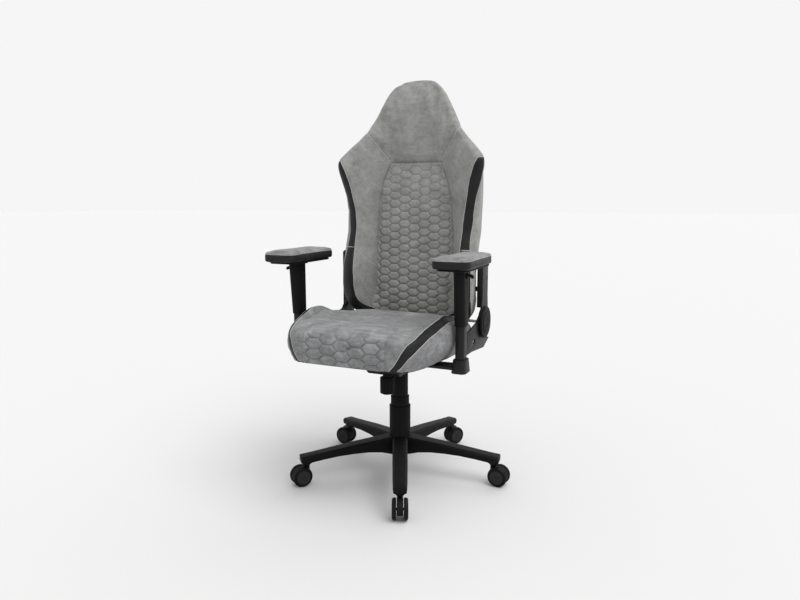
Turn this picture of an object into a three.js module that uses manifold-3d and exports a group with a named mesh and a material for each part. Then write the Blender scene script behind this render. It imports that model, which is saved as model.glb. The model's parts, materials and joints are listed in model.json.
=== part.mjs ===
// A racing-style gaming chair on a five-star base with twin-wheel casters, in millimetres, +Z up.
// The sitter faces -Y, so the sitter's left is +X. The swivel axis is the chair's own Z axis; the
// whole chair is then shifted by ORIGIN_SHIFT, so that the origin is the centre of its footprint.
// Every mesh is one separate piece of the real chair, made as one closed solid.
import * as THREE from "three";
import { mergeVertices } from "three/addons/utils/BufferGeometryUtils.js";
import Module from "manifold-3d";

const wasm = await Module();
wasm.setup();

// ---------------------------------------------------------------- driving dimensions

const GAP = 0.3; // clearance between pieces that touch
const ORIGIN_SHIFT = new THREE.Vector3(-20, 14, 0);
const SIDES = { left: 1, right: -1 }; // the sitter's left and right, as the sign of X

// Star base
const LEG_COUNT = 5;
const BASE_TURN = 24; // degrees from -Y to the first leg
const STEM_RADIUS = 316; // swivel axis to caster stem
const LEG_TIP_RADIUS = 336;
const HUB_RADIUS = 36;
const HUB_BOTTOM = 70;
const HUB_TOP = 135.5;
const LEG_WALL = 4.5;
const BOSS_RADIUS = 18.5;
const BOSS_BOTTOM = 72;
// Leg sections from the hub out: distance from the axis, width, top height, bottom height.
const LEG_SECTIONS = [
  [18, 52, 134, 71],
  [38, 51, 131, 74],
  [70, 50, 127.5, 83],
  [112, 49, 123, 88],
  [160, 48, 118, 89],
  [210, 47, 111.5, 87.5],
  [260, 45.5, 105, 82.5],
  [300, 44, 100, 77],
  [LEG_TIP_RADIUS, 42, 96.5, 77],
];

// Casters
const CASTER_TRAIL = 20; // stem axis to wheel axle
const WHEEL_FACETS = 20; // one facet stands flat on the floor
const WHEEL_RADIUS = 32.2;
const AXLE_HEIGHT = WHEEL_RADIUS * Math.cos(Math.PI / WHEEL_FACETS);
const WHEEL_WIDTH = 13;
const WHEEL_CLEARANCE = 3; // wheel to hood
const HOOD_WIDTH = 19;
const HOOD_RADIUS = 30;
const AXLE_RADIUS = 4;
const STEM_PIN_RADIUS = 5.5;
const STEM_TOP = 91;
// How far each caster has turned from straight out along its leg, in degrees.
const CASTER_TURNS = [0, -12, -24, 24, 12];

// Gas lift and its telescopic cover: [outer radius, inner radius, bottom, top]
const LIFT_TUBE_RADIUS = 25;
const LIFT_TUBE_TOP = 275;
const LIFT_ROD_RADIUS = 14;
const LIFT_ROD_BOTTOM = 145;
const LIFT_ROD_TOP = 401;
const COVER_LOWER = [35, 33, HUB_TOP + GAP, 234];
const COVER_MIDDLE = [30.5, 29, 180, 266];
const COVER_UPPER = [26.75, 25.4, 205, 365.5];

// Tilt mechanism under the seat
const HOUSING_HALF_WIDTH = 55;
const HOUSING_BOTTOM = 366;
const HOUSING_WALL = 4;
const TILT_PIN = { y: -40, z: 420, radius: 5, halfLength: 68 };
const PLATE_BOTTOM = 440.5;
const PLATE_TOP = 448.5;
const KNOB = { y: -100, radius: 22.5, bottom: 300, top: 365.5, flutes: 14 };
const HEIGHT_LEVER_Z = 413.5;

// Seat
const PAN_BOTTOM = PLATE_TOP + GAP;
const PAN_TOP = 459;
// Seat sections from front to back: y, half width, top at the centre, bolster crest x and z,
// half width at the bottom, bottom height.
const SEAT_SECTIONS = [
  [-392, 128, 530, 106, 525, 118, 464],
  [-386, 160, 544, 136, 538, 147, 453],
  [-368, 189, 551, 161, 545, 167, 448],
  [-340, 211, 551, 181, 547, 182, 446],
  [-295, 232, 547, 200, 552, 197, 445],
  [-245, 245, 542, 213, 563, 206, 445],
  [-190, 251, 538, 221, 575, 213, 445],
  [-130, 251, 537, 225, 571, 222, 445],
  [-85, 246, 537, 223, 557, 224, 445],
  [-62, 239, 537, 219, 546, 222, 445],
  [-25, 237, 538, 217, 534, 221, 445],
  [30, 236, 538, 216, 528, 220, 446],
  [72, 232, 530, 212, 518, 216, 450],
  [86, 220, 515, 200, 506, 205, 462],
];

// Backrest
const RECLINE = { y: 108, z: 515 }; // hinge axis, along X
// Backrest sections from the bottom up: z, half width, y of the widest point, wing crest x and y,
// centre panel edge x and y, centre front y, half width at the back, back y.
const BACK_SECTIONS = [
  [505, 158, 128, 134, 116, 112, 118, 118, 144, 158],
  [514, 181, 114, 148, 98, 126, 110, 114, 168, 164],
  [528, 207, 94, 160, 72, 135, 106, 111, 194, 169],
  [546, 223, 68, 170, 48, 138, 104, 110, 211, 173],
  [580, 231, 42, 177, 17, 139, 108, 112, 219, 176],
  [620, 233, 32, 179, 6, 139, 113, 115, 217, 178],
  [680, 233, 36, 182, 8, 138, 117, 118, 216, 180],
  [750, 235, 63, 187, 37, 137, 121, 122, 221, 183],
  [810, 236, 83, 187, 55, 135, 124, 125, 225, 186],
  [870, 235, 86, 192, 62, 131, 124, 127, 227, 190],
  [920, 240, 82, 200, 58, 124, 123, 129, 229, 193],
  [975, 252, 70, 213, 47, 113, 124, 131, 229, 196],
  [1020, 262, 65, 234, 37, 96, 127, 132, 227, 198],
  [1042, 259, 67, 238, 43, 90, 128, 133, 222, 198],
  [1080, 222, 84, 200, 61, 88, 126, 131, 196, 197],
  [1110, 191, 97, 173, 78, 86, 122, 127, 170, 195],
  [1140, 164, 108, 148, 90, 82, 118, 123, 148, 193],
  [1172, 150, 116, 134, 99, 74, 115, 119, 134, 190],
  [1207, 133, 122, 118, 106, 66, 115, 117, 118, 187],
  [1243, 114, 127, 101, 112, 58, 117, 118, 99, 181],
  [1268, 99, 131, 87, 118, 50, 121, 122, 84, 174],
  [1287, 80, 136, 69, 126, 40, 127, 128, 64, 166],
  [1298, 52, 142, 44, 136, 26, 136, 137, 40, 156],
];
const BACK_CORNER = 16; // from the half width at the back to the flat back
const PANEL = { depth: 22, wall: 3.5, inset: 5 }; // rear shell behind the cushion
const FRAME_TUBE = { radius: 8, inset: 30, standOff: 9, low: 540, high: 1220, top: 1236 };
const FRAME_PLATE = { x: [164, 169], y: [98, 188], z: [598, 722] };
const BOLTS = { y: 110, heights: [622, 700], radius: 8 };

// Recline hardware, from the seat outwards: bracket, arm, round cover, lever. The sitter's left
// carries the large recliner disc.
const BRACKET_X = [243.5, 248.5];
const ARM_X = [BRACKET_X[1] + GAP, 253.8];
const ARM_FLANGE = { x: 235.2, y: [80, 84], z: [594, 732] };
const RECLINE_COVER_X = [ARM_X[1] + GAP, 262];
const RECLINE_LEVER_X = [RECLINE_COVER_X[1] + GAP, 270];
const RECLINE_RADII = {
  left: { bracket: 46, arm: 44, cover: 52 },
  right: { bracket: 34, arm: 33, cover: 36 },
};
const SYNC_ROD_RADIUS = 5;

// Armrests
const ARM_POST = { x: 270, y: -178 };
const POST_SIZE = [27, 42];
const POST_BOTTOM = 422;
const POST_TOP = 610;
const SLEEVE_WIDTH = 33;
const SLEEVE_DEPTH = { bottom: 47, top: 62 };
const SLEEVE_BOTTOM = 554;
const SLEEVE_TOP = 712;
const SLEEVE_ROOF = 5;
const SOCKET = { size: [37, 54], flare: 7, bottom: 419, top: 457 };
const STRAP = { x: 105, halfWidth: 29, bottom: 429, top: 436.5 };
const SPACER = { radius: 9, top: 444.5, places: [130, 190] };
const TURNTABLE = { radius: 29, top: 716.5 };
const SLIDER_TOP = 722.5;
const PAD = { length: 256, width: 108, x: 271, y: -164, top: 753, bevel: 6 };
const LEVER_PIVOT = { x: ARM_POST.x + 15, y: ARM_POST.y - 9, z: 700 };

// Colours, roughness and metalness
const PAINTED_STEEL = { color: 0x1b1c1d, roughness: 0.45, metalness: 0.6 };
const BLACK_NYLON = { color: 0x1a1a1b, roughness: 0.55, metalness: 0 };
const BRIGHT_STEEL = { color: 0xb9bcc0, roughness: 0.25, metalness: 1 };
const TREAD_NYLON = { color: 0x161617, roughness: 0.6, metalness: 0 };
const GREY_SUEDE = { color: 0x83837f, roughness: 0.95, metalness: 0 };
const PALE_SUEDE = { color: 0x9a9c9e, roughness: 0.95, metalness: 0 };
const BLACK_LEATHER = { color: 0x232324, roughness: 0.5, metalness: 0 };

// ---------------------------------------------------------------- solids

// A closed geometry as a manifold-3d solid, with shared vertices and no sliver faces.
function solidOf(geometry) {
  const bare = geometry.clone();
  bare.deleteAttribute("normal");
  bare.deleteAttribute("uv");
  const merged = mergeVertices(bare, 1e-4);
  const corners = merged.index.array;
  const faces = [];
  for (let i = 0; i < corners.length; i += 3) {
    const [a, b, c] = [corners[i], corners[i + 1], corners[i + 2]];
    if (a !== b && b !== c && c !== a) faces.push(a, b, c);
  }
  return new wasm.Manifold(
    new wasm.Mesh({
      numProp: 3,
      vertProperties: new Float32Array(merged.attributes.position.array),
      triVerts: new Uint32Array(faces),
    }),
  );
}

// A manifold-3d solid as a three.js geometry.
function geometryOf(solid) {
  const mesh = solid.getMesh();
  const geometry = new THREE.BufferGeometry();
  geometry.setAttribute(
    "position",
    new THREE.BufferAttribute(mesh.vertProperties, 3),
  );
  geometry.setIndex(new THREE.BufferAttribute(mesh.triVerts, 1));
  geometry.computeVertexNormals();
  return geometry;
}

function join(...geometries) {
  return geometryOf(geometries.map(solidOf).reduce((all, one) => all.add(one)));
}

function cut(body, ...tools) {
  return geometryOf(
    tools.map(solidOf).reduce((left, tool) => left.subtract(tool), solidOf(body)),
  );
}

// ---------------------------------------------------------------- basic shapes

// A box between two corners.
function box(low, high) {
  const size = high.map((value, i) => value - low[i]);
  const centre = high.map((value, i) => (value + low[i]) / 2);
  return new THREE.BoxGeometry(...size).translate(...centre);
}

// An upright cylinder from z = low to z = high.
function post(radius, low, high, segments = 24, x = 0, y = 0) {
  return new THREE.CylinderGeometry(radius, radius, high - low, segments)
    .rotateX(Math.PI / 2)
    .translate(x, y, (low + high) / 2);
}

// A cylinder along X from x = low to x = high.
function crossRod(radius, low, high, y, z, segments = 16) {
  return new THREE.CylinderGeometry(radius, radius, high - low, segments)
    .rotateZ(Math.PI / 2)
    .translate((low + high) / 2, y, z);
}

// A turned piece about Z. The outline is [radius, z] points with the material on its left.
function turned(outline, segments = 24) {
  const points = outline.map(([radius, z]) => new THREE.Vector2(radius, z));
  return new THREE.LatheGeometry(points, segments).rotateX(Math.PI / 2);
}

function ring([outer, inner, bottom, top], segments = 24) {
  return turned(
    [
      [inner, bottom],
      [outer, bottom],
      [outer, top],
      [inner, top],
      [inner, bottom],
    ],
    segments,
  );
}

function outlineOf(points) {
  return new THREE.Shape(points.map(([u, v]) => new THREE.Vector2(u, v)));
}

// A flat outline drawn in (x, y), thickened from z = low to z = high.
function plateZ(shape, low, high, curveSegments = 6) {
  return new THREE.ExtrudeGeometry(shape, {
    depth: high - low,
    bevelEnabled: false,
    curveSegments,
  }).translate(0, 0, low);
}

// A flat outline drawn in (y, z), thickened from x = low to x = high.
function plateX(shape, low, high, curveSegments = 6) {
  const turn = new THREE.Matrix4().makeBasis(
    new THREE.Vector3(0, 1, 0),
    new THREE.Vector3(0, 0, 1),
    new THREE.Vector3(1, 0, 0),
  );
  return plateZ(shape, low, high, curveSegments).applyMatrix4(turn);
}

// A rectangle with round corners about the origin.
function roundedRectangle(width, depth, radius) {
  const [x, y] = [width / 2, depth / 2];
  const shape = new THREE.Shape();
  shape.moveTo(x, radius - y);
  shape.lineTo(x, y - radius);
  shape.absarc(x - radius, y - radius, radius, 0, Math.PI / 2);
  shape.absarc(radius - x, y - radius, radius, Math.PI / 2, Math.PI);
  shape.absarc(radius - x, radius - y, radius, Math.PI, 1.5 * Math.PI);
  shape.absarc(x - radius, radius - y, radius, 1.5 * Math.PI, 2 * Math.PI);
  return shape;
}

// Closed rings of equal length, one after another, joined by a skin with a fan over each end.
// Each ring runs right-handed about the direction in which the rings follow each other.
function loft(rings) {
  const count = rings[0].length;
  const centres = [rings[0], rings.at(-1)].map((loop) =>
    loop
      .reduce((sum, point) => sum.add(point), new THREE.Vector3())
      .divideScalar(count),
  );
  const vertices = [...rings.flat(), ...centres];
  const [startCentre, endCentre] = [vertices.length - 2, vertices.length - 1];
  const lastRing = (rings.length - 1) * count;
  const faces = [];
  for (let j = 0; j < count; j += 1) {
    const next = (j + 1) % count;
    for (let base = 0; base < lastRing; base += count) {
      const [a, b] = [base + j, base + next];
      faces.push(a, b, b + count, a, b + count, a + count);
    }
    faces.push(startCentre, next, j, endCentre, lastRing + j, lastRing + next);
  }
  const geometry = new THREE.BufferGeometry().setFromPoints(vertices);
  geometry.setIndex(faces);
  geometry.computeVertexNormals();
  return geometry;
}

// Completes a half ring, which runs from one centre point to the other on the +X side.
function mirrored(half) {
  const inner = half.slice(1, -1).reverse();
  return [...half, ...inner.map(({ x, y, z }) => new THREE.Vector3(-x, y, z))];
}

// ---------------------------------------------------------------- star base and casters

// One leg along -Y: chamfered top edges, drafted sides.
function legSkin(sections, inset) {
  return loft(
    sections.map(([distance, width, top, bottom]) => {
      const half = width / 2 - inset;
      const chamfer = 6;
      const [z0, z1] = [inset ? bottom - 20 : bottom, top - inset];
      const half2d = [
        [0, z1],
        [-(half - chamfer), z1],
        [-half, z1 - chamfer],
        [-(half - 2), z0],
        [0, z0],
      ];
      return mirrored(
        half2d.map(([x, z]) => new THREE.Vector3(-x, -distance, z)),
      ).reverse();
    }),
  );
}

function legs(build) {
  return Array.from({ length: LEG_COUNT }, (_, i) =>
    build().rotateZ(THREE.MathUtils.degToRad(BASE_TURN + (i * 360) / LEG_COUNT)),
  );
}

function fiveStarBase() {
  const boss = () => post(BOSS_RADIUS, BOSS_BOTTOM, 90, 16, 0, -STEM_RADIUS);
  const socket = () =>
    post(STEM_PIN_RADIUS + GAP, BOSS_BOTTOM - 1, STEM_TOP + GAP, 12, 0, -STEM_RADIUS);
  const hollow = () => legSkin(LEG_SECTIONS.slice(2, 7), LEG_WALL);
  const hub = post(HUB_RADIUS, HUB_BOTTOM, HUB_TOP, 30);
  const taper = turned([
    [0, HUB_BOTTOM - 1],
    [LIFT_TUBE_RADIUS - 2 + GAP, HUB_BOTTOM - 1],
    [LIFT_TUBE_RADIUS + GAP, HUB_TOP],
    [LIFT_TUBE_RADIUS + GAP, HUB_TOP + 1],
    [0, HUB_TOP + 1],
  ]);
  const star = join(hub, ...legs(() => legSkin(LEG_SECTIONS, 0)), ...legs(boss));
  return cut(star, taper, ...legs(hollow), ...legs(socket));
}

// The wheel's axle is along X, and the hub opens towards -X.
function casterWheel() {
  const half = WHEEL_WIDTH / 2;
  const wheel = turned(
    [
      [AXLE_RADIUS + GAP, -half],
      [WHEEL_RADIUS, -half],
      [WHEEL_RADIUS, half - 4],
      [WHEEL_RADIUS - 4, half - 1],
      [WHEEL_RADIUS - 9, half],
      [0, half],
      [0, half - 4],
      [AXLE_RADIUS + GAP, half - 4],
      [AXLE_RADIUS + GAP, -half],
    ],
    WHEEL_FACETS,
  );
  return wheel.rotateZ(Math.PI / WHEEL_FACETS).rotateY(Math.PI / 2);
}

// The hood stands over the axle, with its stem axis at y = CASTER_TRAIL and two stub axles.
function casterHood() {
  const half = HOOD_WIDTH / 2;
  const z = AXLE_HEIGHT;
  const side = new THREE.Shape();
  side.absarc(0, z, HOOD_RADIUS, -0.08 * Math.PI, 1.08 * Math.PI);
  const disc = plateX(side, -half, half, 8);
  const neck = post(half - 0.4, AXLE_HEIGHT, BOSS_BOTTOM - GAP, 14, 0, CASTER_TRAIL);
  const collar = post(12.5, 66, BOSS_BOTTOM - GAP, 14, 0, CASTER_TRAIL);
  const reach = half + WHEEL_CLEARANCE + WHEEL_WIDTH - 5;
  const stubs = crossRod(AXLE_RADIUS, -reach, reach, 0, z, 10);
  const bore = post(STEM_PIN_RADIUS + GAP, 46, BOSS_BOTTOM + 1, 12, 0, CASTER_TRAIL);
  return cut(join(disc, neck, collar, stubs), bore);
}

function casterStem() {
  return turned([
    [0, 46 + GAP],
    [STEM_PIN_RADIUS, 46 + GAP],
    [STEM_PIN_RADIUS, STEM_TOP - 2],
    [STEM_PIN_RADIUS - 1.5, STEM_TOP],
    [0, STEM_TOP],
  ], 12).translate(0, CASTER_TRAIL, 0);
}

// ---------------------------------------------------------------- gas lift

function liftTube() {
  const bore = LIFT_ROD_RADIUS + GAP;
  return turned([
    [0, 62],
    [LIFT_TUBE_RADIUS - 2, 62],
    [LIFT_TUBE_RADIUS - 2, HUB_BOTTOM],
    [LIFT_TUBE_RADIUS, HUB_TOP],
    [LIFT_TUBE_RADIUS, LIFT_TUBE_TOP - 2],
    [LIFT_TUBE_RADIUS - 2, LIFT_TUBE_TOP],
    [bore, LIFT_TUBE_TOP],
    [bore, 74],
    [0, 74],
  ]);
}

function liftRod() {
  return turned([
    [0, LIFT_ROD_BOTTOM],
    [LIFT_ROD_RADIUS, LIFT_ROD_BOTTOM],
    [LIFT_ROD_RADIUS, HOUSING_BOTTOM],
    [LIFT_ROD_RADIUS - 1, LIFT_ROD_TOP],
    [0, LIFT_ROD_TOP],
  ]);
}

// ---------------------------------------------------------------- tilt mechanism

// A pressed-steel trough with a socket for the lift rod, holes for the pin and the knob's screw,
// and a slot for the height lever in its right wall.
function mechanismHousing() {
  const side = outlineOf([
    [-122, HOUSING_BOTTOM],
    [60, HOUSING_BOTTOM],
    [60, 398],
    [-30, 436],
    [-62, 436],
    [-136, 424],
    [-136, HOUSING_BOTTOM + 10],
  ]);
  const outer = plateX(side, -HOUSING_HALF_WIDTH, HOUSING_HALF_WIDTH);
  const inner = HOUSING_HALF_WIDTH - HOUSING_WALL;
  const trough = box([-inner, -132, HOUSING_BOTTOM + HOUSING_WALL], [inner, 56, 450]);
  const socket = post(22, HOUSING_BOTTOM, 402, 24);
  const screwBoss = post(11, HOUSING_BOTTOM, 382, 16, 0, KNOB.y);
  const rodBore = turned([
    [0, HOUSING_BOTTOM - 1],
    [LIFT_ROD_RADIUS + GAP, HOUSING_BOTTOM - 1],
    [LIFT_ROD_RADIUS + GAP, HOUSING_BOTTOM],
    [LIFT_ROD_RADIUS - 1 + GAP, 403],
    [0, 403],
  ]);
  const screwBore = post(5 + GAP, HOUSING_BOTTOM - 1, 383, 12, 0, KNOB.y);
  const { y, z, radius } = TILT_PIN;
  const pinBore = crossRod(radius + GAP, -60, 60, y, z);
  const leverSlot = box([-60, -7, HEIGHT_LEVER_Z - 10], [-inner + 1, 7, 450]);
  return cut(
    join(cut(outer, trough), socket, screwBoss),
    rodBore,
    screwBore,
    pinBore,
    leverSlot,
  );
}

function tiltPin() {
  const { y, z, radius, halfLength } = TILT_PIN;
  return crossRod(radius, -halfLength, halfLength, y, z);
}

// The seat's mounting plate, with two ears that hang on the tilt pin.
function mechanismPlate() {
  const { y, z, radius, halfLength } = TILT_PIN;
  const ear = new THREE.Shape();
  ear.moveTo(y + 32, PLATE_BOTTOM + 1);
  ear.lineTo(y - 32, PLATE_BOTTOM + 1);
  ear.absarc(y, z, 14, 1.15 * Math.PI, 1.85 * Math.PI);
  const earInner = HOUSING_HALF_WIDTH + 1.5;
  const ears = [
    plateX(ear, earInner, halfLength - 4),
    plateX(ear, 4 - halfLength, -earInner),
  ];
  const outline = roundedRectangle(190, 180, 14);
  const plate = plateZ(outline, PLATE_BOTTOM, PLATE_TOP, 3).translate(0, y - 16, 0);
  return cut(join(plate, ...ears), crossRod(radius + GAP, -80, 80, y, z));
}

// A fluted knob on a vertical screw.
function tensionKnob() {
  const { y, radius, bottom, top, flutes } = KNOB;
  const points = Array.from({ length: flutes * 3 }, (_, i) => {
    const angle = (i / (flutes * 3)) * 2 * Math.PI;
    const reach = i % 3 === 2 ? radius - 2.2 : radius;
    return [reach * Math.cos(angle), reach * Math.sin(angle)];
  });
  const body = plateZ(outlineOf(points), bottom + 3, top - 12);
  const foot = new THREE.CylinderGeometry(radius - 2, radius - 6, 3.2, 24)
    .rotateX(Math.PI / 2)
    .translate(0, 0, bottom + 1.6);
  const neck = post(14, top - 13, top, 20);
  const screw = post(5, top - 1, 380, 12);
  return join(body, foot, neck, screw).translate(0, y, 0);
}

// A bent rod that reaches in over the lift's button, with a flat paddle at its outer end.
function heightLever() {
  const z = HEIGHT_LEVER_Z;
  const path = new THREE.CatmullRomCurve3(
    [
      [-8, z],
      [-72, z],
      [-104, z - 12],
      [-206, z - 18],
    ].map(([x, height]) => new THREE.Vector3(x, 0, height)),
    false,
    "catmullrom",
    0.2,
  );
  const section = new THREE.Shape();
  section.absarc(0, 0, 4, 0, 2 * Math.PI);
  const rod = new THREE.ExtrudeGeometry(section, {
    extrudePath: path,
    steps: 12,
    curveSegments: 4,
  });
  const paddle = plateZ(roundedRectangle(64, 32, 12), z - 23, z - 14, 4);
  return join(rod, paddle.translate(-232, 0, 0));
}

// ---------------------------------------------------------------- seat

const PAN_SIZE = [370, 380];
const PAN_Y = -150;
const PAN_CORNER = 60;

function seatPan() {
  const outline = roundedRectangle(...PAN_SIZE, PAN_CORNER);
  return plateZ(outline, PAN_BOTTOM, PAN_TOP, 4).translate(0, PAN_Y, 0);
}

// The upholstered foam: two bolsters along a shallow dish, with a pocket below for the pan.
function seatCushion() {
  const rings = SEAT_SECTIONS.map(
    ([y, half, top, crestX, crestZ, bottomHalf, bottom]) => {
      const middle = (crestZ + bottom) / 2;
      const halfRing = [
        [0, top],
        [crestX * 0.5, top],
        [crestX * 0.78, (top * 2 + crestZ) / 3],
        [crestX - 10, crestZ - 2],
        [crestX + 6, crestZ - 1],
        [half - 5, crestZ - 14],
        [half, middle + 6],
        [half - 4, middle - 16],
        [bottomHalf, bottom],
        [0, bottom],
      ];
      return mirrored(halfRing.map(([x, z]) => new THREE.Vector3(x, y, z)));
    },
  );
  const [width, depth] = PAN_SIZE.map((size) => size + 2 * GAP);
  const outline = roundedRectangle(width, depth, PAN_CORNER);
  const pocket = plateZ(outline, 430, PAN_TOP + GAP, 4);
  return cut(loft(rings), pocket.translate(0, PAN_Y, 0));
}

// ---------------------------------------------------------------- backrest

function backRing(section) {
  const [z, half, widestY, crestX, crestY, panelX, panelY, frontY, backHalf, backY] =
    section;
  const halfRing = [
    [0, frontY],
    [panelX * 0.6, frontY + (panelY - frontY) * 0.2],
    [panelX, panelY],
    [(panelX + crestX * 2) / 3, (panelY + crestY * 2) / 3 + 6],
    [crestX, crestY],
    [(crestX + half) / 2 + 2, (crestY * 2 + widestY) / 3],
    [half, widestY],
    [(half + backHalf * 2) / 3, widestY * 0.75 + backY * 0.25],
    [backHalf, widestY * 0.35 + backY * 0.65],
    [backHalf - BACK_CORNER, backY - 4],
    [0, backY],
  ];
  return mirrored(halfRing.map(([x, y]) => new THREE.Vector3(x, y, z)));
}

// The hoop of the steel frame follows the outline, just behind the cushion's back.
function hoop() {
  const { radius } = FRAME_TUBE;
  const { inset, standOff, low, high, top } = FRAME_TUBE;
  const right = BACK_SECTIONS.filter(([z]) => z > low && z < high).map((section) => {
    const [backHalf, backY] = section.slice(-2);
    const x = backHalf - BACK_CORNER - inset;
    return new THREE.Vector3(x, backY + standOff, section[0]);
  });
  const crown = new THREE.Vector3(0, right.at(-1).y - 6, top);
  const left = right.map(({ x, y, z }) => new THREE.Vector3(-x, y, z)).reverse();
  const path = new THREE.CatmullRomCurve3(
    [...right, crown, ...left],
    true,
    "catmullrom",
    0.25,
  );
  const section = new THREE.Shape();
  section.absarc(0, 0, radius, 0, 2 * Math.PI);
  return new THREE.ExtrudeGeometry(section, {
    extrudePath: path,
    steps: 36,
    curveSegments: 4,
  });
}

// The plates on the frame's sides, and the bosses that carry them out to the recline arms.
function frameSides(clearance, plateBack) {
  const { x, y, z } = FRAME_PLATE;
  const plates = [
    [x[0], x[1]],
    [-x[1], -x[0]],
  ].map(([low, high]) =>
    box(
      [low - clearance, y[0] - clearance, z[0] - clearance],
      [high + clearance, plateBack, z[1] + clearance],
    ),
  );
  const reach = ARM_X[0] - GAP;
  const bosses = BOLTS.heights.flatMap((height) => [
    crossRod(BOLTS.radius + clearance, x[0] + 1, reach, BOLTS.y, height, 12),
    crossRod(BOLTS.radius + clearance, -reach, -x[0] - 1, BOLTS.y, height, 12),
  ]);
  return [...plates, ...bosses];
}

function backFrame() {
  return join(hoop(), ...frameSides(0, FRAME_PLATE.y[1]));
}

function syncRodTunnel(radius) {
  return crossRod(radius, -300, 300, RECLINE.y, RECLINE.z, 12);
}

function backCushion() {
  return cut(
    loft(BACK_SECTIONS.map(backRing)),
    ...frameSides(0.6, 220),
    syncRodTunnel(SYNC_ROD_RADIUS + 2),
  );
}

// A shallow shell over the frame. Its rings sit behind the cushion's back.
function panelSkin(sections, inset, front, back) {
  return loft(
    sections.map((section) => {
      const z = section[0];
      const [backHalf, cushionBack] = section.slice(-2);
      const x = backHalf - BACK_CORNER - PANEL.inset - inset;
      const halfRing = [
        [0, cushionBack + front],
        [x, cushionBack + front],
        [x, cushionBack + back - 7],
        [x - 6, cushionBack + back],
        [0, cushionBack + back],
      ];
      return mirrored(halfRing.map(([u, y]) => new THREE.Vector3(u, y, z)));
    }),
  );
}

function backPanel() {
  const shell = panelSkin(BACK_SECTIONS, 0, GAP, PANEL.depth);
  const middle = BACK_SECTIONS.slice(2, -2);
  const hollow = panelSkin(middle, PANEL.wall, -1, PANEL.depth - PANEL.wall);
  return cut(shell, hollow);
}

// ---------------------------------------------------------------- recline hardware, left side

function reclineBracket(discRadius) {
  const { y, z } = RECLINE;
  const plate = outlineOf([
    [-58, 443],
    [121, 427.5],
    [182, 450.5],
    [140, 461],
    [y + discRadius, z],
    [y, z + discRadius],
    [38, 523],
    [-52, 505],
  ]);
  const foot = box([100, -56, 438.5], [BRACKET_X[1], 60, 444.4]);
  const web = box([BRACKET_X[0], -56, 438.5], [BRACKET_X[1], 60, 450]);
  const hole = crossRod(9, 230, 260, 14, 468, 16);
  const disc = crossRod(discRadius, ...BRACKET_X, y, z, 28);
  const body = join(plateX(plate, ...BRACKET_X), disc, foot, web);
  return cut(body, hole, syncRodTunnel(SYNC_ROD_RADIUS + GAP));
}

function reclineArm(discRadius) {
  const { y, z } = RECLINE;
  const outline = new THREE.Shape();
  outline.moveTo(138, 726);
  outline.lineTo(130, 736);
  outline.lineTo(90, 736);
  outline.lineTo(82, 726);
  outline.lineTo(80, 600);
  outline.absarc(y, z, discRadius, 0.85 * Math.PI, 2.15 * Math.PI);
  outline.lineTo(139, 600);
  const slot = box([240, 124, 650], [260, 130, 664]);
  const plate = plateX(outline, ...ARM_X, 12);
  const { x, y: flangeY, z: flangeZ } = ARM_FLANGE;
  const flange = box([x, flangeY[0], flangeZ[0]], [ARM_X[1], flangeY[1], flangeZ[1]]);
  return cut(join(plate, flange), slot, syncRodTunnel(SYNC_ROD_RADIUS + GAP));
}

function reclineCover(radius, bored) {
  const [inner, outer] = RECLINE_COVER_X;
  const disc = turned(
    [
      [0, inner],
      [radius, inner],
      [radius, outer - 4],
      [radius - 3, outer - 1.5],
      [radius - 16, outer - 1.5],
      [radius - 19, outer],
      [0, outer],
    ],
    32,
  )
    .rotateY(Math.PI / 2)
    .translate(0, RECLINE.y, RECLINE.z);
  return bored ? cut(disc, syncRodTunnel(SYNC_ROD_RADIUS + GAP)) : disc;
}

// The lever lies on the sitter's right, outside the cover, pointing forward along the seat.
function reclineLever() {
  const { y, z } = RECLINE;
  const [inner, outer] = RECLINE_LEVER_X;
  const handle = new THREE.Shape();
  handle.absarc(y, z, 15, -0.45 * Math.PI, 0.6 * Math.PI);
  handle.lineTo(y - 128, z - 10);
  handle.absarc(y - 130, z - 21, 11, 0.5 * Math.PI, 1.5 * Math.PI);
  const hub = crossRod(15, inner, outer, y, z, 20);
  const socket = crossRod(SYNC_ROD_RADIUS + GAP, inner - 1, outer - 3, y, z, 12);
  return cut(join(plateX(handle, inner, outer, 8), hub), socket);
}

function syncRod() {
  return crossRod(
    SYNC_ROD_RADIUS,
    GAP + 3 - RECLINE_LEVER_X[1],
    ARM_X[1] - GAP,
    RECLINE.y,
    RECLINE.z,
    12,
  );
}

// ---------------------------------------------------------------- armrest, left side

// Points around a closed outline at one height.
function ringOf(shape, z, divisions = 3) {
  return shape
    .getPoints(divisions)
    .slice(0, -1)
    .map(({ x, y }) => new THREE.Vector3(x, y, z));
}

function atPost(geometry) {
  return geometry.translate(ARM_POST.x, ARM_POST.y, 0);
}

function armrestBracket() {
  const [width, depth] = SOCKET.size;
  const section = (spread) => roundedRectangle(width + spread, depth + spread, 14);
  const socket = loft([
    ringOf(section(SOCKET.flare), SOCKET.bottom),
    ringOf(section(0), SOCKET.top),
  ]);
  const { x, halfWidth, bottom, top } = STRAP;
  const strap = box([x - ARM_POST.x, -halfWidth, bottom], [-width / 2 + 4, halfWidth, top]);
  const spacers = SPACER.places.map((place) =>
    post(SPACER.radius, top - 1, SPACER.top, 16, place - ARM_POST.x, 0),
  );
  const [boreWidth, boreDepth] = POST_SIZE.map((size) => size + 2 * GAP);
  const bore = plateZ(
    roundedRectangle(boreWidth, boreDepth, 12),
    POST_BOTTOM - GAP,
    SOCKET.top + 1,
    3,
  );
  return atPost(cut(join(socket, strap, ...spacers), bore));
}

function armrestPost() {
  return atPost(plateZ(roundedRectangle(...POST_SIZE, 11.7), POST_BOTTOM, POST_TOP, 3));
}

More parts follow.
